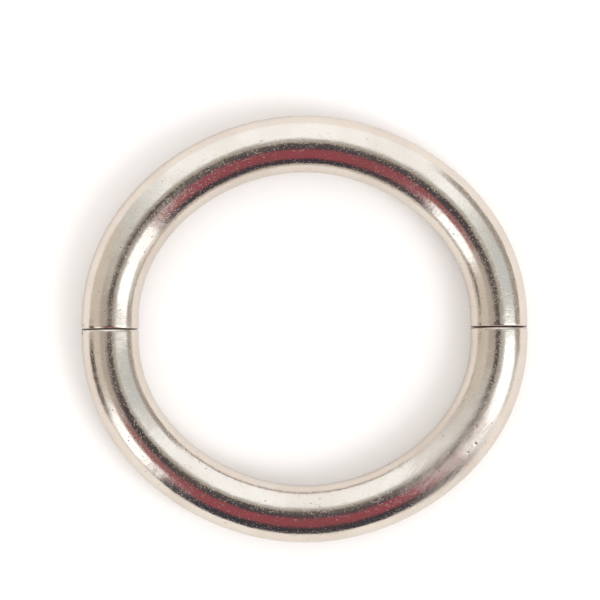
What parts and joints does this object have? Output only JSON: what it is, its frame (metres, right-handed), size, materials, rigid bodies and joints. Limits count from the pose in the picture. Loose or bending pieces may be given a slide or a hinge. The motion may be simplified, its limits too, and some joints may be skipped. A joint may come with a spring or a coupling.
{
  "type": "bangle bracelet",
  "caption": "Oval bangle of hollow polished silver tube in halves that swing apart on a flush knuckle hinge and snap shut with a tongue and sprung-ball catch.",
  "frame": {"origin": "middle of the wrist opening, at the middle of the tube's thickness", "axes": "+X from the hinge to the catch, in the plane of the seams; +Y towards the half that swings; +Z out of the plane of the bangle, so that it lies flat on its -Z side"},
  "size_m": [0.078, 0.0746, 0.01],
  "materials": {
    "polished_silver": "mirror-polished sterling silver with fine hairline scratches",
    "satin_silver": "sterling silver as filed and soldered, satin",
    "spring_steel": "bright drawn spring steel"
  },
  "bodies": {
    "lower_half": {"lower_tube": "polished_silver", "lower_hinge_cap": "polished_silver", "lower_catch_cap": "polished_silver", "lower_knuckle_1": "satin_silver", "lower_knuckle_2": "satin_silver", "lower_knuckle_3": "satin_silver", "hinge_pin": "spring_steel", "catch_box": "satin_silver", "detent_barrel_top": "satin_silver", "detent_barrel_bottom": "satin_silver", "detent_spring_top": "spring_steel", "detent_spring_bottom": "spring_steel"},
    "upper_half": {"upper_tube": "polished_silver", "upper_hinge_cap": "polished_silver", "upper_catch_cap": "polished_silver", "upper_knuckle_1": "satin_silver", "upper_knuckle_2": "satin_silver", "tongue": "satin_silver"},
    "ball_top": {"detent_ball_top": "spring_steel"},
    "ball_bottom": {"detent_ball_bottom": "spring_steel"}
  },
  "joints": [
    {"name": "opening_hinge", "type": "hinge", "parent": "lower_half", "child": "upper_half", "pos_m": [-0.0382, 0, 0], "axis": [0, 0, 1], "range_deg": [0, 70]},
    {"name": "detent_top", "type": "slide", "parent": "lower_half", "child": "ball_top", "axis": [0, 0, 1], "range_m": [0, 0.0003], "stiffness_N_per_m": 150, "springref_m": -0.001, "deforming": ["detent_spring_top"]},
    {"name": "detent_bottom", "type": "slide", "parent": "lower_half", "child": "ball_bottom", "axis": [0, 0, -1], "range_m": [0, 0.0003], "stiffness_N_per_m": 150, "springref_m": -0.001, "deforming": ["detent_spring_bottom"]}
  ]
}
